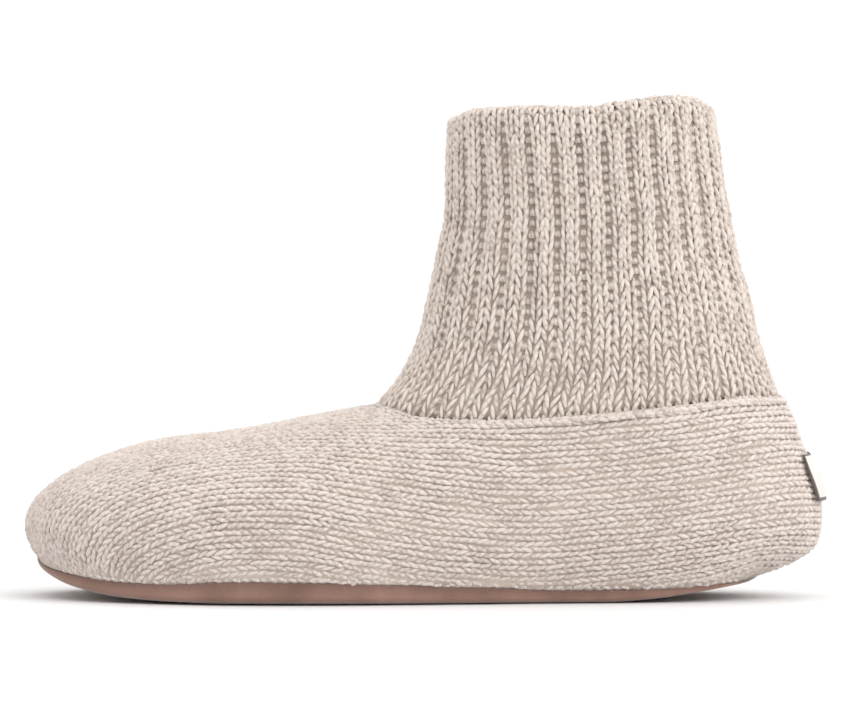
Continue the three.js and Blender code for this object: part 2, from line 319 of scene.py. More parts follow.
# Shares of a wale: where rows start under the seam, and the space that they leave at seam and sole.
SEAM_START = 0.25
SEAM_SPACE = 0.45
SOLE_SPACE = 0.1
SEAM_BESIDE = 0.9


def first_hit(start, towards):
    """Where a ray from inside the last comes out of it."""
    return np.array(last_surface.ray_cast(Vector(start), Vector(towards))[0])


class Line:
    """A line down the last from its top, with how far down it meets the seam and the sole."""

    def __init__(self, points, sole_z):
        points = np.array(points)
        self.points = points
        self.length = lengths(points)
        self.seam = float(np.interp(0, seam_height(points[:, 0]) - points[:, 2], self.length))
        self.sole = float(np.interp(0, sole_z - points[:, 2], self.length))

    def at(self, down):
        """The place at a length down the line."""
        return at_length(self.points, down, self.length)


def toe_lines(side):
    """Lines down one side of the toe, in planes that fan out to the sole's tip."""
    x, z = TOE_FAN
    tip = math.atan2(x - SOLE_TIP, foot["edge"](SOLE_TIP) - z)
    turns = np.radians(np.linspace(0, TOE_TURN, TOE_TURN + 1))
    lines = []
    for share in np.sin(np.linspace(0, math.pi / 2, TOE_LINES + 2))[1:-1]:
        y = HEEL_LINE + mix(foot["middle"](x), sole["middle"](SOLE_TIP), share)
        up = np.array([-math.sin(share * tip), 0, math.cos(share * tip)])
        out = np.array([0, side, 0])
        points = [first_hit((x, y, z), up * math.cos(turn) + out * math.sin(turn)) for turn in turns]
        lines.append(Line(points, foot["edge"](np.array(points)[:, 0])))
    return lines


def side_lines(side):
    """Lines down one side of the foot, each at one place along it."""
    down = -side * np.arange(2 * LAST_STEPS + 1)
    along = (last_x > TOE_FAN[0]) & (last_x < HEEL_FAN)
    return [Line(ring[down], foot["edge"](x)) for x, ring in zip(last_x[along], last_rings[along])]


def heel_lines(side):
    """Lines down one side of the heel, in upright planes that fan out to its middle."""
    x = crowded(SOLE_TIP, SOLE_END, 160)[100:]
    bearings = np.arctan2(sole["middle"](x) * side + sole["half"](x), x - HEEL_FAN)
    lines = []
    for bearing in np.linspace(math.pi / 2, 0, HEEL_LINES):
        sole_z = np.interp(bearing, bearings[::-1], foot["edge"](x)[::-1])
        out = (math.cos(bearing), side * math.sin(bearing), 0)
        heights = np.linspace(HEEL_TOP, sole_z - BELOW_SOLE, HEEL_STEPS)
        lines.append(Line([first_hit((HEEL_FAN, HEEL_LINE, z), out) for z in heights], sole_z))
    return lines


def foot_lines(side):
    """Lines down one side of the last, from the middle of the heel forwards to the toe's tip."""
    return heel_lines(side)[::-1] + side_lines(side)[::-1] + toe_lines(side)


class Row:
    """A line on the surface with its frame, which stitches follow."""

    def __init__(self, points, across, keep=None, lean=0):
        ahead = unit(np.gradient(points, axis=0))
        level = unit(across - ahead * np.sum(across * ahead, axis=1, keepdims=True))
        up = np.cross(ahead, level)
        lean = np.broadcast_to(lean, len(points))[:, None]
        across = level * np.cos(lean) + up * np.sin(lean)
        self.length = lengths(points)
        self.frame = np.concatenate([points, ahead, across, np.cross(ahead, across)], axis=1)
        self.keep = np.ones(len(points)) if keep is None else keep.astype(float)

    def at(self, wanted):
        """Place, direction ahead, direction across and normal at each wanted length."""
        values = [np.interp(wanted, self.length, column) for column in self.frame.T]
        return np.stack(values, axis=-1).reshape(*np.shape(wanted), 4, 3)

    def centres(self, course):
        """Middles of the stitches that are kept along the row."""
        places = (np.arange(int(self.length[-1] / course)) + 0.5) * course
        return places[np.interp(places, self.length, self.keep) > 0.5]


def row_down(lines, side, down, keep=None):
    """A row that crosses each line at its own distance down."""
    points = np.array([line.at(place) for line, place in zip(lines, down)])
    lower = np.array([line.at(place + 1) for line, place in zip(lines, down)])
    upper = np.array([line.at(place - 1) for line, place in zip(lines, down)])
    return Row(points, side * (upper - lower), keep)


def foot_rows(lines, side, wale):
    """Rows of one side: along the ridge at the toe, above the sole amidships, below the seam behind."""
    x = np.array([line.at(line.sole)[0] for line in lines])
    whole = np.array([line.sole for line in lines])
    seam = np.array([line.seam for line in lines])
    join = whole[int(np.argmin(np.abs(x - TOE_FAN[0])))]
    turn = int(np.argmin(np.abs(x - DIP_END)))
    under_seam = seam[turn] + SEAM_START * wale - (whole[turn] - join)
    dip = ROW_DIP + (under_seam - ROW_DIP) % wale
    settle = smooth((x - TOE_FAN[0]) / SETTLE_LENGTH)
    top = (whole - join) * settle + dip * smooth((x - DIP_START) / (DIP_END - DIP_START))
    top = np.where(np.arange(len(lines)) < turn, top[turn] + seam - seam[turn], top)
    ahead = x < SHAFT_TOE_END
    to_ridge = int(np.max(top[ahead]) / wale) + 1
    to_sole = int(np.max(whole - top) / wale) + 1
    rows = []
    for k in range(-to_ridge, to_sole):
        down = top + (k + 0.5) * wale
        below_seam = (down > seam + SEAM_SPACE * wale) | ahead
        keep = (down < whole - SOLE_SPACE * wale) & (down > 0) & below_seam
        rows.append(row_down(lines, side, down, keep))
    return rows


def seam_row():
    """The foot's top row, around the shaft."""
    share = np.linspace(0, 1, 400)
    beside = shaft_point(share, 0, -SEAM_BESIDE, SEAM_BESIDE)
    points = np.array([last_surface.find_nearest(Vector(point))[0] for point in beside])
    upwards = shaft_point(share, 0, 0.5, 0) - shaft_point(share, 0, -2, 1.5)
    return Row(points, upwards)


# Columns of the shaft. Low is at the seam and high is at the rim.

OUTER_COURSES = 28
BEND_COURSES = 3
HEM_COURSES = 6
BEND = HEM_WALL / 2
HEM_SPACE = 1
RIM_ROLL = 8
RIM_LOFT = 0.9
RIM_LOFT_COURSES = 6
SEAM_LEVEL = 66
GIRTH_LOW = 343
GIRTH_HIGH = 254
GIRTH_TAKE_IN = 1.15
RIB_CROWD_LOW = 0.14
RIB_CROWD_HIGH = 0.06
RIB_ONSET = 1.6
RIB_LEAN = 0.45
RIM_EASE = 0.75
RIM_EASE_COURSES = 4
WALE_SHARE_LOW = 0.5
WALE_SHARE_HIGH = 0.43


def ring_turn(share, rise):
    """Turn around the shaft's oval, from its front, that spaces the ribs evenly along it."""
    crowd = mix(RIB_CROWD_LOW, RIB_CROWD_HIGH, np.clip(rise, 0, 1))
    return 2 * math.pi * share + crowd * np.sin(4 * math.pi * share)


def shaft_point(share, rise, inset, drop):
    """A place on the shaft: a share around it and up it, then in from its face and down."""
    turn = ring_turn(share, rise)
    along = -np.cos(turn)
    back = (along + 1) / 2
    seam = seam_height(mix(shaft["front"](SEAM_LEVEL), shaft["back"](SEAM_LEVEL), back))
    z = mix(seam, rim_height(along), rise) - drop
    x = mix(shaft["front"](z) + inset, shaft["back"](z) - inset, back)
    y = HEEL_LINE - np.sin(turn) * (shaft["half"](z) - inset)
    return np.stack(np.broadcast_arrays(x, y, z), axis=-1)


def shaft_surface(share, course):
    """The knit face of the shaft: up its outside, over the rim and down the hem."""
    bend = np.clip((course - OUTER_COURSES) / BEND_COURSES, 0, 1) * math.pi
    down = np.maximum(course - OUTER_COURSES - BEND_COURSES, 0) / HEM_COURSES
    inset = BEND * (1 - np.cos(bend))
    over = BEND * (1 - np.sin(bend)) * smooth((course - OUTER_COURSES) / RIM_ROLL + 1)
    loft = RIM_LOFT * smooth((course - OUTER_COURSES) / RIM_LOFT_COURSES + 1)
    drop = over + down * (HEM_DEPTH - BEND - HEM_SPACE) - loft
    return shaft_point(share, np.minimum(course / OUTER_COURSES, 1), inset, drop)


def rib_length(rise):
    """Length of one rib with its groove around the shaft, which is less towards the rim."""
    return mix(GIRTH_LOW, GIRTH_HIGH, smooth(rise * GIRTH_TAKE_IN)) / RIB_COUNT


def rib_depth(course):
    """How far the ribs stand out: from 0, stretched flat at the seam, to 1, and less at the rim."""
    eased = RIM_EASE * smooth((course - OUTER_COURSES) / RIM_EASE_COURSES + 1)
    return smooth(course / OUTER_COURSES * RIB_ONSET) * (1 - eased)


def wale_share(course):
    """Share of a rib that one of its two knit columns takes: half where the rib is stretched."""
    return mix(WALE_SHARE_LOW, WALE_SHARE_HIGH, rib_depth(course))


class Column:
    """One column of stitches up the shaft, a number of half wales from the middle of a rib.

    A column leans away from the middle of its rib, more where the ribs draw together.
    """

    def __init__(self, rib, halves):
        course = np.arange(-2, OUTER_COURSES + BEND_COURSES + HEM_COURSES + 0.01, 0.2)
        share = (rib + 0.5 + halves * wale_share(course) / 2) / RIB_COUNT
        step = 0.002
        across = shaft_surface(share - step, course) - shaft_surface(share + step, course)
        lean = halves * RIB_LEAN * rib_depth(course)
        self.row = Row(shaft_surface(share, course), across, lean=lean)
        stitch = np.arange(-1, OUTER_COURSES + BEND_COURSES + HEM_COURSES) + 0.5
        self.centres = np.interp(stitch, course, self.row.length)
        self.pitch = np.gradient(self.centres)[:, None]
        self.wale = (rib_length(stitch / OUTER_COURSES) * wale_share(stitch))[:, None]
        self.depth = rib_depth(stitch)[:, None]


# Meshes

def piece_from(name, mesh, material, *replaced, slot):
    """A piece of the slipper with its body, hiding the CAD nodes that it stands for. Its slot is not used.
    """
    made = bpy.data.objects.new(name, mesh)
    bpy.context.scene.collection.objects.link(made)
    mesh.materials.append(material)
    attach(made, BODY)
    if replaced:
        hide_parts(*replaced)
    return made


def finish_bmesh(bm, name):
    """A smooth mesh of what was modelled, with its faces outwards."""
    bmesh.ops.recalc_face_normals(bm, faces=bm.faces)
    mesh = bpy.data.meshes.new(name)
    bm.to_mesh(mesh)
    bm.free()
    mesh.shade_smooth()
    return mesh


def flat_grid(across, along):
    """A flat grid with its points' shares across and along it, which are its texture places too."""
    bm = bmesh.new()
    bmesh.ops.create_grid(bm, x_segments=across, y_segments=along, size=0.5, calc_uvs=False)
    layer = bm.loops.layers.uv.new("UVMap")
    shares = np.array([vertex.co[:2] for vertex in bm.verts]) + 0.5
    for face in bm.faces:
        for loop in face.loops:
            loop[layer].uv = shares[loop.vert.index]
    return bm, layer, shares


def grid(across, along, place):
    """A grid whose points are put in place by their shares across and along, in millimetres."""
    bm, _, shares = flat_grid(across, along)
    for vertex, point in zip(bm.verts, place(shares[:, 0], shares[:, 1])):
        vertex.co = point * MM
    bmesh.ops.remove_doubles(bm, verts=bm.verts, dist=1e-6)
    bmesh.ops.dissolve_degenerate(bm, edges=bm.edges, dist=1e-7)
    return bm


# Stitches

LEG_SIDES = 5
LEG_RINGS = 6
YARN_LENGTH = 6
YARN_TWIST = 0.45
WANDER = 0.22
WANDER_LENGTH = 5.3
# How much one length of yarn may differ, in shares of a course or wale and in millimetres.
LOOSE = {"length": 0.18, "run": 0.3, "spread": 0.03, "tilt": 0.09, "radius": 0.14, "high": 0.14}
PURL_SAG = 0.6
# Least tone of a purl bump: shade painted on, as it lies deep in its groove.
PURL_SHADE_TONE = 0.6
FIBRE_LENGTH = 2.4
FIBRE_RADIUS = 0.05
FIBRE_DEPTH = 0.4
FIBRE_SPREAD = 0.8


def leg_template():
    """One plump leg of a stitch, closed to a point at both ends.

    Its points hold their turn around the yarn and their share of its length.
    """
    bm, layer, shares = flat_grid(LEG_SIDES, LEG_RINGS)
    taper = np.sin(math.pi * shares[:, 1])
    turn = 2 * math.pi * shares[:, 0]
    for vertex, out, angle, share in zip(bm.verts, taper, turn, shares[:, 1]):
        vertex.co = (out * math.cos(angle), out * math.sin(angle), share)
    bmesh.ops.remove_doubles(bm, verts=bm.verts, dist=1e-5)
    bm.verts.index_update()
    points = np.array([vertex.co for vertex in bm.verts])
    faces = [[loop.vert.index for loop in face.loops] for face in bm.faces]
    uv = np.array([loop[layer].uv[:] for face in bm.faces for loop in face.loops])
    bm.free()
    share = points[:, 2]
    turn = np.arctan2(points[:, 1], points[:, 0])
    top = int(np.argmin(np.abs(turn - math.pi / 2) + 4 * np.abs(share - 0.5)))
    return {"share": share, "turn": turn, "faces": faces, "uv": uv, "top": top}


def fibre_template():
    """A thin closed spike: its points, with its length from 0 to 1, and its faces."""
    bm = bmesh.new()
    bmesh.ops.create_cone(bm, cap_ends=True, segments=3, radius1=1, radius2=0, depth=1)
    bmesh.ops.remove_doubles(bm, verts=bm.verts, dist=1e-5)
    bmesh.ops.translate(bm, verts=bm.verts, vec=(0, 0, 0.5))
    bm.verts.index_update()
    points = np.array([vertex.co for vertex in bm.verts])
    faces = [[vertex.index for vertex in face.verts] for face in bm.faces]
    bm.free()
    return points, faces


def joined_mesh(name, points, faces, uv, tone):
    """One mesh of many like shapes, given as points by shape, with their texture places and tones."""
    count, size = points.shape[:2]
    sizes = np.tile([len(face) for face in faces], count)
    corners = (np.concatenate(faces)[None] + size * np.arange(count)[:, None]).ravel()
    mesh = bpy.data.meshes.new(name)
    mesh.vertices.add(count * size)
    mesh.vertices.foreach_set("co", (points.reshape(-1) * MM).astype(np.float32))
    mesh.loops.add(len(corners))
    mesh.loops.foreach_set("vertex_index", corners.astype(np.int32))
    mesh.polygons.add(len(sizes))
    starts = np.concatenate([[0], np.cumsum(sizes)[:-1]])
    mesh.polygons.foreach_set("loop_start", starts.astype(np.int32))
    layer = mesh.uv_layers.new(name="UVMap")
    layer.uv.foreach_set("vector", uv.ravel().astype(np.float32))
    shade = mesh.attributes.new("tone", "FLOAT", "POINT")
    shade.data.foreach_set("value", np.repeat(tone, size).astype(np.float32))
    mesh.update(calc_edges=True)
    mesh.validate()
    mesh.shade_smooth()
    return mesh


class Stitches:
    """Many short lengths of yarn, joined into meshes from arrays."""

    def __init__(self, seed):
        self.template = leg_template()
        self.random = np.random.default_rng(seed)
        self.points = []
        self.offset = []
        self.tone = []
        self.tops = []

    def loose(self, count, name):
        """A small random difference for each of the lengths."""
        return LOOSE[name] * self.random.uniform(-1, 1, (count, 1))

    def add(self, row, centres, run, out, high, thick, turned=False, least_tone=0):
        """Adds lengths of yarn along a row. Each one's line runs ahead, out to a side and up."""
        round_out = thick * np.cos(self.template["turn"])
        frame_at = row.at(np.asarray(centres)[:, None] + run + (round_out if turned else 0))
        out = out + (0 if turned else round_out)
        high = high + thick * np.sin(self.template["turn"])
        start, _, across, up = np.moveaxis(frame_at, -2, 0)
        place = start + across * out[..., None] + up * high[..., None]
        top = self.template["top"]
        self.points.append(place)
        self.offset.append(self.random.uniform(0, 400, len(centres)))
        self.tone.append(self.random.uniform(least_tone, 1, len(centres)))
        self.tops.append(np.concatenate([place[:, top:top + 1], frame_at[:, top, 1:]], axis=1))

    def legs(self, row, centres, course, wale, side, look):
        """Adds one leg of a V at each place, on one side of the row."""
        count = len(centres)
        share = self.template["share"][None]
        bulge = np.sin(math.pi * share)
        length = course * (look["length"] + self.loose(count, "length"))
        run = length * (share - 0.5) + self.loose(count, "run")
        spread = mix(look["inner"], look["outer"], smooth(share)) + self.loose(count, "spread")
        tilt = self.loose(count, "tilt") * (share - 0.5)
        phase = 7 * row.frame[0, :3].sum()
        wander = WANDER * np.sin(np.asarray(centres) / WANDER_LENGTH + phase)[:, None]
        thick = look["radius"] * (1 + self.loose(count, "radius")) * bulge ** look["plump"]
        high = look["arch"] * bulge ** 0.7 - look["sink"] + self.loose(count, "high")
        self.add(row, centres, run, wander + side * wale * (spread + tilt), high, thick)

    def bars(self, row, centres, width, sink, look):
        """Adds one purl bump at each place, across the row, with shade painted on: its tone is darker than
        most, as it lies deep.
        """
        count = len(centres)
        share = self.template["share"][None]
        bulge = np.sin(math.pi * share)
        out = width * (share - 0.5)
        thick = look["radius"] * (1 + self.loose(count, "radius")) * bulge ** look["plump"]
        high = look["arch"] * bulge - sink + self.loose(count, "high")
        run = PURL_SAG * bulge + self.loose(count, "run")
        # The purl bumps' higher least tone is painted shade of the groove.
        self.add(row, centres, run, out, high, thick, turned=True, least_tone=PURL_SHADE_TONE)

    def meshes(self, name, most=190000):
        """The lengths of yarn as meshes of under the given number of triangles each."""
        faces = self.template["faces"]
        each = sum(len(face) - 2 for face in faces)
        points = np.concatenate(self.points)
        offset = np.concatenate(self.offset)
        tone = np.concatenate(self.tone)
        uv = np.tile(self.template["uv"], (len(points), 1, 1))
        uv[:, :, 1] = uv[:, :, 1] * YARN_LENGTH + offset[:, None]
        parts = np.array_split(np.arange(len(points)), math.ceil(len(points) * each / most))
        return [
            joined_mesh(f"{name}_{number + 1}", points[part], faces, uv[part], tone[part])
            for number, part in enumerate(parts)
        ]

    def fuzz(self, name, count):
        """Loose fibres on the yarn, as thin closed spikes, most of them short."""
        tops = np.concatenate(self.tops)[self.random.integers(0, sum(map(len, self.tops)), count)]
        root, ahead, across, up = tops.transpose(1, 0, 2)
        turn = self.random.uniform(0, 2 * math.pi, (count, 1))
        rise = self.random.uniform(0.05, 1, (count, 1))
        heading = unit(ahead * np.cos(turn) + across * np.sin(turn) + up * rise)
        side = unit(np.cross(heading, ahead + across))
        beside = np.cross(heading, side)
        along = FIBRE_SPREAD * self.random.normal(size=(count, 1))
        root = root - FIBRE_DEPTH * up + along * ahead
        reach = FIBRE_LENGTH * self.random.uniform(0.35, 1, (count, 1)) ** 2
        template, faces = fibre_template()
        points = np.stack([
            root + FIBRE_RADIUS * (side * x + beside * y) + heading * reach * z for x, y, z in template
        ], axis=1)
        uv = np.tile([[corner / 4, 0.5] for face in faces for corner in face], (count, 1, 1))
        return joined_mesh(name, points, faces, uv, self.random.uniform(0, 1, count))


# Materials

def linear(hex_colour):
    """A colour written as sRGB hex, as linear numbers."""
    parts = [int(hex_colour[i:i + 2], 16) / 255 for i in (1, 3, 5)]
    return [c / 12.92 if c <= 0.04045 else ((c + 0.055) / 1.055) ** 2.4 for c in parts] + [1]


def add_node(tree, kind, inputs=None, **settings):
    """A node with its settings and inputs. A node given as an input is linked by its first output."""
    made = tree.nodes.new(kind)
    for name, value in settings.items():
        setattr(made, name, value)
    for name, value in (inputs or {}).items():
        if isinstance(value, bpy.types.Node):
            value = value.outputs[0]
        if isinstance(value, bpy.types.NodeSocket):
            tree.links.new(value, made.inputs[name])
        else:
            made.inputs[name].default_value = value
    return made


def new_material(name):
    """A material and its empty tree of nodes."""
    material = bpy.data.materials.new(name)
    material.use_nodes = True
    material.node_tree.nodes.clear()
    return material, material.node_tree


def finish_material(tree, inputs):
    """Ends a material's nodes in a shader with the given inputs."""
    shader = add_node(tree, "ShaderNodeBsdfPrincipled", {"Metallic": 0.0, "IOR": 1.5, **inputs})
    add_node(tree, "ShaderNodeOutputMaterial", {"Surface": shader})


STRANDS = 4
STREAK_LENGTH = 2.4
PATCH_LENGTH = 11
# Hairs change nine times around the yarn for less than once along it.
HAIR_STRETCH = (9, 0.8, 0)


def marled_wool(name, light, dark, deep, amount):
    """Ragg wool: a cream and a taupe ply twisted together, so each stitch is streaked along its slant.

    It looks matt and a little see-through, with fine strands, darker hairs, shade painted into the grooves
    between strands and slow changes of tone.
    """
    material, tree = new_material(name)
    uv = add_node(tree, "ShaderNodeUVMap", uv_map="UVMap")
    turn, along, _ = add_node(tree, "ShaderNodeSeparateXYZ", {0: uv}).outputs
    tone = add_node(tree, "ShaderNodeAttribute", attribute_name="tone").outputs["Fac"]
    place = add_node(tree, "ShaderNodeTexCoord").outputs["Object"]
    winding = add_node(
        tree, "ShaderNodeMath", {0: along, 1: YARN_TWIST, 2: turn}, operation="MULTIPLY_ADD")
    waves = []
    for count in (1, STRANDS):
        angle = add_node(
            tree, "ShaderNodeMath", {0: winding, 1: 2 * math.pi * count}, operation="MULTIPLY")
        waves.append(add_node(tree, "ShaderNodeMath", {0: angle}, operation="SINE"))
    ply, strand = waves
    streak = add_node(tree, "ShaderNodeTexNoise", {
        "Vector": place, "Scale": 1 / (STREAK_LENGTH * MM), "Detail": 3.0,
    })
    patch = add_node(tree, "ShaderNodeTexNoise", {
        "Vector": place, "Scale": 1 / (PATCH_LENGTH * MM), "Detail": 2.0,
    })
    # The taupe ply shows where it winds up, in short streaks, in wide patches and on darker stitches,
    # whose tone is random, with shade painted onto the purl bumps.
    shade = -3.6
    for value, weight in ((ply, 0.7), (streak, 3.2), (patch, 2.4), (tone, 1.6)):
        shade = add_node(
            tree, "ShaderNodeMath", {0: value, 1: weight, 2: shade}, operation="MULTIPLY_ADD")
    taupe = add_node(tree, "ShaderNodeMapRange", {0: shade, 1: -0.4, 2: 1.5, 3: 0.0, 4: amount})
    on_yarn = add_node(tree, "ShaderNodeCombineXYZ", {0: winding, 1: along})
    fibre = add_node(
        tree, "ShaderNodeVectorMath", {0: on_yarn, 1: HAIR_STRETCH}, operation="MULTIPLY")
    hairs = add_node(tree, "ShaderNodeTexNoise", {
        "Vector": fibre, "Scale": 1.6, "Detail": 4.0, "Roughness": 0.7,
    })
    marl = add_node(tree, "ShaderNodeMix", {0: taupe, 6: light, 7: dark}, data_type="RGBA")
    # Darker hairs are the yarn's own; the strand term paints shade into the grooves between the strands'
    # bumps, in the deep colour.
    dark_hairs_and_strand_shade = -0.375
    for value, weight in ((hairs, 0.9), (strand, -0.13)):
        dark_hairs_and_strand_shade = add_node(
            tree, "ShaderNodeMath", {0: value, 1: weight, 2: dark_hairs_and_strand_shade}, operation="MULTIPLY_ADD")
    lines = add_node(tree, "ShaderNodeClamp", {0: dark_hairs_and_strand_shade})
    colour = add_node(
        tree, "ShaderNodeMix", {0: lines, 6: marl.outputs[2], 7: deep}, data_type="RGBA")
    height = add_node(tree, "ShaderNodeMath", {0: strand, 1: 0.3, 2: hairs}, operation="MULTIPLY_ADD")
    bump = add_node(tree, "ShaderNodeBump", {"Strength": 0.6, "Distance": 0.4 * MM, "Height": height})
    finish_material(tree, {
        "Base Color": colour.outputs[2], "Roughness": 0.92, "Specular IOR Level": 0.15,
        "Sheen Weight": 0.4, "Sheen Roughness": 0.45, "Subsurface Weight": 0.4,
        "Subsurface Radius": (1, 0.85, 0.75), "Subsurface Scale": 0.8 * MM, "Normal": bump,
    })
    return material


def loose_fibres():
    """Loose wool fibres: pale and thin, a soft haze along the outline."""
    material, tree = new_material("loose wool fibres")
    tone = add_node(tree, "ShaderNodeAttribute", attribute_name="tone").outputs["Fac"]
    colour = add_node(
        tree, "ShaderNodeMix", {0: tone, 6: linear("#f6eeea"), 7: linear("#cdbdb3")}, data_type="RGBA")
    finish_material(tree, {"Base Color": colour.outputs[2], "Roughness": 0.9, "Sheen Weight": 0.4})
    return material


def matted_cloth(name, light, dark, grain_mm, depth_mm):
    """Matted wool or felt: matt, with a fine nap and slow uneven shade."""
    material, tree = new_material(name)
    place = add_node(tree, "ShaderNodeTexCoord").outputs["Object"]
    slow = add_node(tree, "ShaderNodeTexNoise", {"Vector": place, "Scale": 1 / (20 * MM), "Detail": 4.0})
    fine = add_node(tree, "ShaderNodeTexNoise", {
        "Vector": place, "Scale": 1 / (grain_mm * MM), "Detail": 5.0, "Roughness": 0.65,
    })
    nap = add_node(tree, "ShaderNodeMath", {0: fine, 1: 0.6}, operation="MULTIPLY")
    uneven = add_node(tree, "ShaderNodeMath", {0: slow, 1: 0.9, 2: nap}, operation="MULTIPLY_ADD")
    shade = add_node(tree, "ShaderNodeMapRange", {0: uneven, 1: 0.5, 2: 1.0})
    colour = add_node(tree, "ShaderNodeMix", {0: shade, 6: light, 7: dark}, data_type="RGBA")
    bump = add_node(tree, "ShaderNodeBump", {"Strength": 0.6, "Distance": depth_mm * MM, "Height": fine})
    finish_material(tree, {
        "Base Color": colour.outputs[2], "Roughness": 0.95, "Specular IOR Level": 0.2,
        "Sheen Weight": 0.3, "Normal": bump,
    })
    return material


THREAD_SPACING = 0.45


def woven_ribbon(pale):
    """Woven ribbon: a pale bare face with a fine weave inside a thin dark border."""
    material, tree = new_material("woven ribbon")
    place = add_node(tree, "ShaderNodeTexCoord").outputs["Object"]
    _, across, up = add_node(tree, "ShaderNodeSeparateXYZ", {0: place}).outputs
    off_middle = add_node(tree, "ShaderNodeMath", {0: across, 1: HEEL_LINE * MM}, operation="SUBTRACT")
    from_middle = add_node(tree, "ShaderNodeMath", {0: off_middle}, operation="ABSOLUTE")
    edges = [
        (from_middle, "GREATER_THAN", LABEL_HALF - LABEL_BORDER),
        (up, "GREATER_THAN", LABEL_TOP - LABEL_BORDER),
        (up, "LESS_THAN", LABEL_BOTTOM + 2 * LABEL_BORDER),
    ]
    border = 0.0
    for value, test, limit in edges:
        outside = add_node(tree, "ShaderNodeMath", {0: value, 1: limit * MM}, operation=test)
        border = add_node(tree, "ShaderNodeMath", {0: outside, 1: border}, operation="MAXIMUM")
    weave = 1.0
    for value in (across, up):
        angle = add_node(tree, "ShaderNodeMath", {
            0: value, 1: 2 * math.pi / (THREAD_SPACING * MM),
        }, operation="MULTIPLY")
        thread = add_node(tree, "ShaderNodeMath", {0: angle}, operation="SINE")
        weave = add_node(tree, "ShaderNodeMath", {0: thread, 1: weave}, operation="MULTIPLY")
    colour = add_node(
        tree, "ShaderNodeMix", {0: border, 6: pale, 7: linear("#5d514c")}, data_type="RGBA")
    bump = add_node(tree, "ShaderNodeBump", {"Strength": 0.5, "Distance": 0.1 * MM, "Height": weave})
    finish_material(tree, {
        "Base Color": colour.outputs[2], "Roughness": 0.7, "Sheen Weight": 0.2, "Normal": bump,
    })
    return material


def brown_suede(light, dark):
    """Brown suede: matt, with a short nap and slow changes of tone, and shade painted as a darker line
    along its rim, under the knit's overhang.
    """
    material, tree = new_material("brown suede")
    place = add_node(tree, "ShaderNodeTexCoord").outputs["Object"]
    uv = add_node(tree, "ShaderNodeUVMap", uv_map="UVMap")
    across = add_node(tree, "ShaderNodeSeparateXYZ", {0: uv})
    off_middle = add_node(
        tree, "ShaderNodeMath", {0: across, 1: 2.0, 2: -1.0}, operation="MULTIPLY_ADD")
    from_middle = add_node(tree, "ShaderNodeMath", {0: off_middle}, operation="ABSOLUTE")
    # Painted shade: darker along the sole's upper rim, where the knit overhangs it.
    rim = add_node(tree, "ShaderNodeMapRange", {0: from_middle, 1: 0.96, 2: 1.0, 3: 0.0, 4: 0.45})
    slow = add_node(tree, "ShaderNodeTexNoise", {"Vector": place, "Scale": 1 / (17 * MM), "Detail": 4.0})
    nap = add_node(tree, "ShaderNodeTexNoise", {
        "Vector": place, "Scale": 1 / (0.5 * MM), "Detail": 5.0, "Roughness": 0.7,
    })
    brushed = add_node(tree, "ShaderNodeMath", {0: nap, 1: 0.7}, operation="MULTIPLY")
    uneven = add_node(tree, "ShaderNodeMath", {0: slow, 1: 1.4, 2: brushed}, operation="MULTIPLY_ADD")
    shade = add_node(tree, "ShaderNodeMapRange", {0: uneven, 1: 0.75, 2: 1.35})
    brown = add_node(tree, "ShaderNodeMix", {0: shade, 6: light, 7: dark}, data_type="RGBA")
    colour = add_node(
        tree, "ShaderNodeMix", {0: rim, 6: brown.outputs[2], 7: linear("#4e3a33")}, data_type="RGBA")
    bump = add_node(tree, "ShaderNodeBump", {"Strength": 0.6, "Distance": 0.15 * MM, "Height": nap})
    finish_material(tree, {
        "Base Color": colour.outputs[2], "Roughness": 0.95, "Specular IOR Level": 0.2,
        "Sheen Weight": 0.4, "Normal": bump,
    })
    return material


def studio_paper():
    """White studio paper, a little under full white so that the contact shadow reads."""
    material, tree = new_material("white studio paper")
    finish_material(tree, {"Base Color": linear("#e9e9e9"), "Roughness": 0.9})
    return material


# Settings

class SlipperKnitSettings(bpy.types.PropertyGroup):
    wale: bpy.props.FloatProperty(
        name="Wale", description="Width of one column of plain knit on the foot",
        default=4.2 * MM, min=2 * MM, max=8 * MM, subtype="DISTANCE", unit="LENGTH")
    course: bpy.props.FloatProperty(
        name="Course", description="Length of one stitch of plain knit on the foot",
        default=3.1 * MM, min=2 * MM, max=8 * MM, subtype="DISTANCE", unit="LENGTH")


def colour_setting(name, description, hex_colour):
    """A colour that a user may change, with its default written as sRGB hex."""
    return bpy.props.FloatVectorProperty(
        name=name, description=description, default=linear(hex_colour), size=4, min=0, max=1,
        subtype="COLOR")


class SlipperColours(bpy.types.PropertyGroup):
    foot_cream: colour_setting("Foot, cream", "Pale ply of the foot's yarn", "#ebdfd7")
    foot_taupe: colour_setting("Foot, taupe", "Dark ply of the foot's yarn", "#b7a69b")
    shaft_cream: colour_setting("Shaft, cream", "Pale ply of the shaft's yarn", "#ebdfd5")
    shaft_taupe: colour_setting("Shaft, taupe", "Dark ply of the shaft's yarn", "#a29084")
    suede: colour_setting("Suede", "Sole leather where its nap lies light", "#9a796c")
    suede_shade: colour_setting("Suede shade", "Sole leather where its nap lies dark", "#795d52")
    felt: colour_setting("Felt", "Insole felt", "#d8ccbf")
    ribbon: colour_setting("Ribbon", "Face of the heel label", "#dcd6d0")


class SlipperStageSettings(bpy.types.PropertyGroup):
    eye_height: bpy.props.FloatProperty(
        name="Eye height", description="Height of the camera above the floor",
        default=160 * MM, subtype="DISTANCE", unit="LENGTH")
    eye_distance: bpy.props.FloatProperty(
        name="Eye distance", description="Distance of the camera from the slipper's middle",
        default=2200 * MM, subtype="DISTANCE", unit="LENGTH")


# Stage

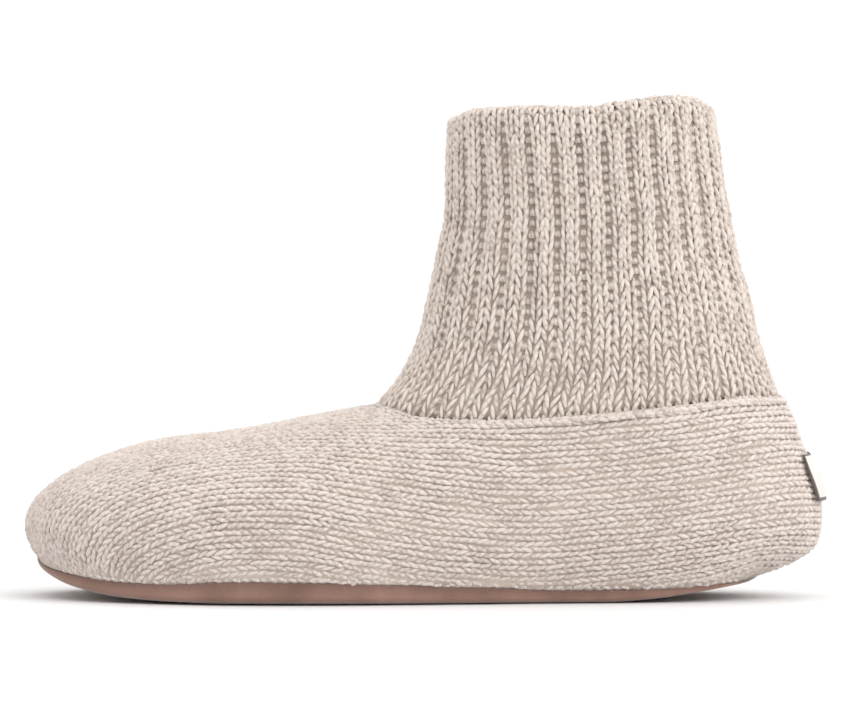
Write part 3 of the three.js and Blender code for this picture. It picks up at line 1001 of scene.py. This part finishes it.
FRAME_WIDTH = 850
PIXEL = 0.3375
VIEW_CENTRE_Z = 79.8
SENSOR = 36
FLOOR_HALF = 1
SKY = 1.07
AIM = (0, 0, 0.06)
# Each softbox: its place and its side in metres, and its power in watts.
LIGHTS = {
    "overhead_softbox": ((0.3, 0.3, 1.8), 2.2, 11),
    "heel_softbox": ((1.5, -1.2, 1.1), 1.2, 14),
    "front_softbox": ((0.1, -1.8, 1.5), 1.6, 5),
}


class SLIPPER_OT_stage(bpy.types.Operator):
    """Sets up the pale floor, the soft studio light and the camera"""

    bl_idname = "slipper.stage"
    bl_label = "Studio stage"

    def execute(self, context):
        settings = context.scene.slipper_stage
        scene = context.scene
        camera_data = bpy.data.cameras.new("studio_camera")
        camera = bpy.data.objects.new("studio_camera", camera_data)
        scene.collection.objects.link(camera)
        place = Vector((0, -settings.eye_distance, settings.eye_height))
        target = Vector((0, 0, VIEW_CENTRE_Z * MM))
        camera.location = place
        camera.rotation_euler = (target - place).to_track_quat("-Z", "Y").to_euler()
        camera_data.sensor_width = SENSOR
        camera_data.lens = SENSOR * (target - place).length / (FRAME_WIDTH * PIXEL * MM)
        camera_data.clip_end = 50
        scene.camera = camera

        bm = bmesh.new()
        bmesh.ops.create_grid(bm, x_segments=1, y_segments=1, size=FLOOR_HALF)
        floor_mesh = finish_bmesh(bm, "floor")
        floor = bpy.data.objects.new("floor", floor_mesh)
        floor_mesh.materials.append(studio_paper())
        scene.collection.objects.link(floor)

        world = bpy.data.worlds.new("studio")
        world.use_nodes = True
        sky = world.node_tree.nodes["Background"]
        sky.inputs["Color"].default_value = (1, 1, 1, 1)
        sky.inputs["Strength"].default_value = SKY
        scene.world = world
        scene.view_settings.view_transform = "Standard"

        for name, (where, size, power) in LIGHTS.items():
            data = bpy.data.lights.new(name, "AREA")
            data.size = size
            data.energy = power
            light = bpy.data.objects.new(name, data)
            light.location = where
            aim = Vector(AIM) - Vector(where)
            light.rotation_euler = aim.to_track_quat("-Z", "Y").to_euler()
            scene.collection.objects.link(light)
        return {"FINISHED"}


# Foot

FOOT_LOOK = {
    "length": 1.7, "inner": 0.12, "outer": 0.37, "radius": 0.84, "plump": 0.5, "arch": 0.6, "sink": 1.35,
}
EDGE_LOOK = {
    "length": 1.5, "inner": 0.06, "outer": 0.26, "radius": 0.78, "plump": 0.5, "arch": 0.55, "sink": 1.3,
}
WALL_SINK = 1.0
WALL_GRAIN = 0.8
WALL_NAP = 0.4
EDGE_FADE = 4
SKIN_DEPTH = 0.3
SHORTEST_LINE = 2
FOOT_FIBRES = 34000


def sunk_copy(node, sink, name):
    """A copy of a CAD shell whose outer skin is drawn in, for stitches to stand on."""
    bm = bmesh.new()
    bm.from_mesh(bpy.data.objects[node].data)
    bmesh.ops.remove_doubles(bm, verts=bm.verts, dist=1e-6)
    bm.normal_update()
    moves = []
    for vertex in bm.verts:
        place, normal, _, distance = last_surface.find_nearest(vertex.co / MM)
        if distance < SKIN_DEPTH:
            sole_edge = foot["edge"](np.clip(place.x, SOLE_TIP, SOLE_END))
            above_sole = smooth((place.z - sole_edge) / EDGE_FADE)
            moves.append((vertex, vertex.co - normal * float(sink * above_sole) * MM))
    for vertex, place in moves:
        vertex.co = place
    return finish_bmesh(bm, name)


class SLIPPER_OT_foot(bpy.types.Operator):
    """Knits the foot: a soft wall under rows of plain stitches"""

    bl_idname = "slipper.foot"
    bl_label = "Plain-knit foot"

    def execute(self, context):
        knit = context.scene.slipper_knit
        wale = knit.wale / MM
        course = knit.course / MM
        colours = context.scene.slipper_colours
        wall = matted_cloth("matted wool wall", linear("#d2c4b9"), linear("#b0a095"), WALL_GRAIN, WALL_NAP)
        wool = marled_wool(
            "marled ragg wool, foot", colours.foot_cream, colours.foot_taupe, linear("#94837a"),
            amount=0.6)
        piece_from("foot_wall", sunk_copy("foot", WALL_SINK, "foot_wall"), wall, "foot", slot="knit")
        stitches = Stitches(seed=11)
        rows = []
        edges = [(seam_row(), EDGE_LOOK)]
        for side in (-1, 1):
            lines = foot_lines(side)
            inside_tip = [line for line in lines if line.sole > SHORTEST_LINE]
            sole_edge = row_down(inside_tip, side, [line.sole for line in inside_tip])
            edges.append((sole_edge, EDGE_LOOK))
            rows += [(row, FOOT_LOOK) for row in foot_rows(lines, side, wale)]
        for row, look in rows + edges:
            centres = row.centres(course)
            if len(centres):
                for leg in (-1, 1):
                    stitches.legs(row, centres, course, wale, leg, look)
        for mesh in stitches.meshes("foot_stitches"):
            piece_from(mesh.name, mesh, wool, slot="knit")
        piece_from("foot_fuzz", stitches.fuzz("foot_fuzz", FOOT_FIBRES), loose_fibres(), slot="knit")
        return {"FINISHED"}


# Shaft

RIB_LOOK = {
    "length": 1.75, "inner": 0.1, "outer": 0.36, "radius": 0.85, "plump": 0.5, "arch": 0.7, "sink": 1.5,
}
PURL_LOOK = {"radius": 1.36, "plump": 0.4, "arch": 0.4}
PURL_SINK_LOW = 2.3
PURL_SINK_HIGH = 2.7
SHAFT_SINK = 1.2
GROOVE_SINK_LOW = 0.3
GROOVE_SINK_HIGH = 1.6
PURL_WIDTH = 0.8
SHAFT_FIBRES = 28000


def shaft_wall_rows():
    """Levels of the shaft's wall around its profile: rise, inset and drop of each."""
    rows = [(rise, SHAFT_SINK, -FIT if rise == 0 else 0) for rise in np.linspace(0, 0.96, 40)]
    for bend in np.linspace(0, math.pi, 13):
        radius = BEND - SHAFT_SINK
        rows.append((1, BEND - radius * math.cos(bend), BEND - radius * math.sin(bend)))
    for drop in np.linspace(BEND + 3, HEM_DEPTH - 2, 6):
        rows.append((1, HEM_WALL - SHAFT_SINK, drop))
    rows.append((1, SHAFT_WALL, HEM_DEPTH))
    rows += [(rise, SHAFT_WALL, 0) for rise in np.linspace(0.72, 0.03, 18)]
    rows.append((0, SHAFT_WALL, -FIT))
    return np.array(rows)


class SLIPPER_OT_shaft(bpy.types.Operator):
    """Knits the shaft: ribs of two knit columns with a sunk purl column between them"""

    bl_idname = "slipper.shaft"
    bl_label = "Ribbed shaft"

    def execute(self, context):
        colours = context.scene.slipper_colours
        # Darker than the foot's wall: shade in the grooves and between the stitches is painted into it.
        wall = matted_cloth(
            "matted wool wall, ribs", linear("#c0b0a4"), linear("#a09085"), WALL_GRAIN, WALL_NAP)
        wool = marled_wool(
            "marled ragg wool, ribs", colours.shaft_cream, colours.shaft_taupe, linear("#857365"),
            amount=0.6)
        rows = shaft_wall_rows()

        def place(u, v):
            level = np.rint(v * len(rows)).astype(int) % len(rows)
            rise, inset, drop = rows[level].T
            rib = np.cos(2 * math.pi * RIB_COUNT * u)
            deep = mix(GROOVE_SINK_LOW, GROOVE_SINK_HIGH, rib_depth(rise * OUTER_COURSES))
            groove = np.where(inset == SHAFT_SINK, deep * ((rib + 1) / 2) ** 2, 0)
            return shaft_point(u, rise, inset + groove, drop)

        bm = grid(RIB_COUNT * 6, len(rows), place)
        piece_from("shaft_wall", finish_bmesh(bm, "shaft_wall"), wall, "shaft", slot="rib_knit")
        stitches = Stitches(seed=23)
        for rib in range(RIB_COUNT):
            for halves in (-1, 1):
                column = Column(rib, halves)
                for leg in (-1, 1):
                    stitches.legs(column.row, column.centres, column.pitch, column.wale, leg, RIB_LOOK)
            groove = Column(rib + 0.5, 0)
            sink = mix(PURL_SINK_LOW, PURL_SINK_HIGH, groove.depth)
            stitches.bars(groove.row, groove.centres, PURL_WIDTH * groove.wale, sink, PURL_LOOK)
        for mesh in stitches.meshes("shaft_stitches"):
            piece_from(mesh.name, mesh, wool, slot="rib_knit")
        fibres = stitches.fuzz("shaft_fuzz", SHAFT_FIBRES)
        piece_from("shaft_fuzz", fibres, loose_fibres(), slot="rib_knit")
        return {"FINISHED"}


# Sole, insole and label

def dish(across):
    """Rise of the sole's dish from its middle, 0, to its rim, 1."""
    return 1 - (1 - np.abs(across) ** SOLE_EDGE_ROUND) ** (1 / SOLE_EDGE_ROUND)


def sole_place(x, across, half, z):
    """Places beside the sole's middle line, by their share of its half width."""
    return np.stack([x, HEEL_LINE + sole["middle"](x) + across * half, z], axis=-1)


class SLIPPER_OT_sole(bpy.types.Operator):
    """Cuts the sole: a soft suede dish with a rounded edge"""

    bl_idname = "slipper.sole"
    bl_label = "Suede sole"

    def execute(self, context):
        def place(u, v):
            x = mix(SOLE_TIP, SOLE_END, (1 - np.cos(math.pi * v)) / 2)
            across = -np.cos(math.pi * u)
            under = np.minimum(sole["under"](x), foot["edge"](x) - SOLE_TAPER)
            return sole_place(x, across, sole["half"](x), mix(under, foot["edge"](x), dish(across)))

        bm = grid(48, 110, place)
        bmesh.ops.recalc_face_normals(bm, faces=bm.faces)
        bmesh.ops.solidify(bm, geom=bm.faces, thickness=SOLE_LEATHER * MM)
        colours = context.scene.slipper_colours
        suede = brown_suede(colours.suede, colours.suede_shade)
        piece_from("sole_suede", finish_bmesh(bm, "sole_suede"), suede, "sole", slot="sole")
        return {"FINISHED"}


FELT_GRAIN = 0.6
FELT_NAP = 0.2


def insole_ring(x, half, turn):
    """A section of the insole: dished under, as the sole is, with soft edges and a little crown."""
    across = np.clip(np.cos(turn) * 1.02, -1, 1)
    upper = np.sin(turn) > 0
    floor = sole["under"](x) + SOLE_LEATHER + FIT
    rise = np.maximum(foot["edge"](x) - floor + FIT, 0)
    lift = np.minimum(rise * dish(across), INSOLE_THICKNESS - INSOLE_EDGE)
    crown = INSOLE_EDGE * (1 - across ** 6)
    top = INSOLE_THICKNESS - INSOLE_EDGE + crown
    return sole_place(x, across, half, floor + np.where(upper, top, lift))


def inside_wall(point):
    """A point moved, if it has to be, to just inside the foot's wall."""
    nearest, normal, _, _ = last_surface.find_nearest(Vector(point))
    deep = (nearest - Vector(point)).dot(normal)
    short = max(FOOT_WALL + FIT - deep, 0)
    return point - np.array(normal) * short


class SLIPPER_OT_insole(bpy.types.Operator):
    """Lays the felt insole in the foot"""

    bl_idname = "slipper.insole"
    bl_label = "Felt insole"

    def execute(self, context):
        colour = context.scene.slipper_colours.felt
        felt = matted_cloth("cream wool felt", colour, linear("#bdb0a2"), FELT_GRAIN, FELT_NAP)
        inset = SOLE_RIM_WIDTH + 4 * FIT

        def place(u, v):
            along = (1 - np.cos(math.pi * v)) / 2
            wide = sole["half"](mix(SOLE_TIP, SOLE_END, along))
            x = mix(SOLE_TIP + inset, SOLE_END - inset, along)
            points = insole_ring(x, wide ** 2 / (wide + inset), 2 * math.pi * u)
            return np.array([inside_wall(point) for point in points])

        bm = grid(64, 90, place)
        made = piece_from("insole_felt", finish_bmesh(bm, "insole_felt"), felt, "insole", slot="insole")
        return {"FINISHED"}


def label_point(across, z, off):
    """A point over the heel, the given distance off it, with the label's lower end swung out."""
    start = Vector((HEEL_FAN, HEEL_LINE + across, z))
    place, normal, _, _ = last_surface.ray_cast(start, Vector((1, 0, 0)))
    x, y, _ = place + normal * off
    return (x + (LABEL_TOP - z) * math.sin(LABEL_SWING), y, z)


class SLIPPER_OT_label(bpy.types.Operator):
    """Sews the bare ribbon label to the heel"""

    bl_idname = "slipper.label"
    bl_label = "Heel label"

    def execute(self, context):
        def place(u, v):
            turn = 2 * math.pi * u
            up = np.clip(np.sin(turn) * LABEL_ENDS, -1, 1)
            out = np.clip(-np.cos(turn) * LABEL_FACES, -1, 1)
            soft = 1 - 0.5 * np.abs(up) ** LABEL_EDGE_ROUND
            z = mix(LABEL_BOTTOM, LABEL_TOP, (up + 1) / 2)
            off = LABEL_STAND_OFF + LABEL_THICKNESS * (1 + out * soft) / 2
            across = mix(-LABEL_HALF, LABEL_HALF, v)
            return np.array([label_point(*values) for values in zip(across, z, off)])

        bm = grid(40, 30, place)
        bmesh.ops.holes_fill(bm, edges=bm.edges)
        mesh = finish_bmesh(bm, "label_ribbon")
        ribbon = woven_ribbon(context.scene.slipper_colours.ribbon)
        piece_from("label_ribbon", mesh, ribbon, "heel_label", slot="label")
        return {"FINISHED"}


class SLIPPER_PT_panel(bpy.types.Panel):
    """Lists the sizes, colours and pieces of the slipper"""

    bl_label = "Slipper sock"
    bl_idname = "SLIPPER_PT_panel"
    bl_space_type = "VIEW_3D"
    bl_region_type = "UI"
    bl_category = "Slipper"

    def draw(self, context):
        for name, settings in SETTINGS.items():
            for setting in settings.__annotations__:
                self.layout.prop(getattr(context.scene, name), setting)
        for operator in OPERATORS:
            self.layout.operator(operator.bl_idname)


OPERATORS = (
    SLIPPER_OT_stage,
    SLIPPER_OT_sole,
    SLIPPER_OT_insole,
    SLIPPER_OT_foot,
    SLIPPER_OT_shaft,
    SLIPPER_OT_label,
)
SETTINGS = {
    "slipper_knit": SlipperKnitSettings,
    "slipper_colours": SlipperColours,
    "slipper_stage": SlipperStageSettings,
}
CLASSES = (*SETTINGS.values(), *OPERATORS, SLIPPER_PT_panel)


def register():
    for cls in CLASSES:
        bpy.utils.register_class(cls)
    for name, settings in SETTINGS.items():
        setattr(bpy.types.Scene, name, bpy.props.PointerProperty(type=settings))


def unregister():
    for name in SETTINGS:
        delattr(bpy.types.Scene, name)
    for cls in reversed(CLASSES):
        bpy.utils.unregister_class(cls)


def main():
    register()
    for operator in OPERATORS:
        getattr(bpy.ops.slipper, operator.bl_idname.split(".")[1])()


if __name__ == "__main__":
    main()
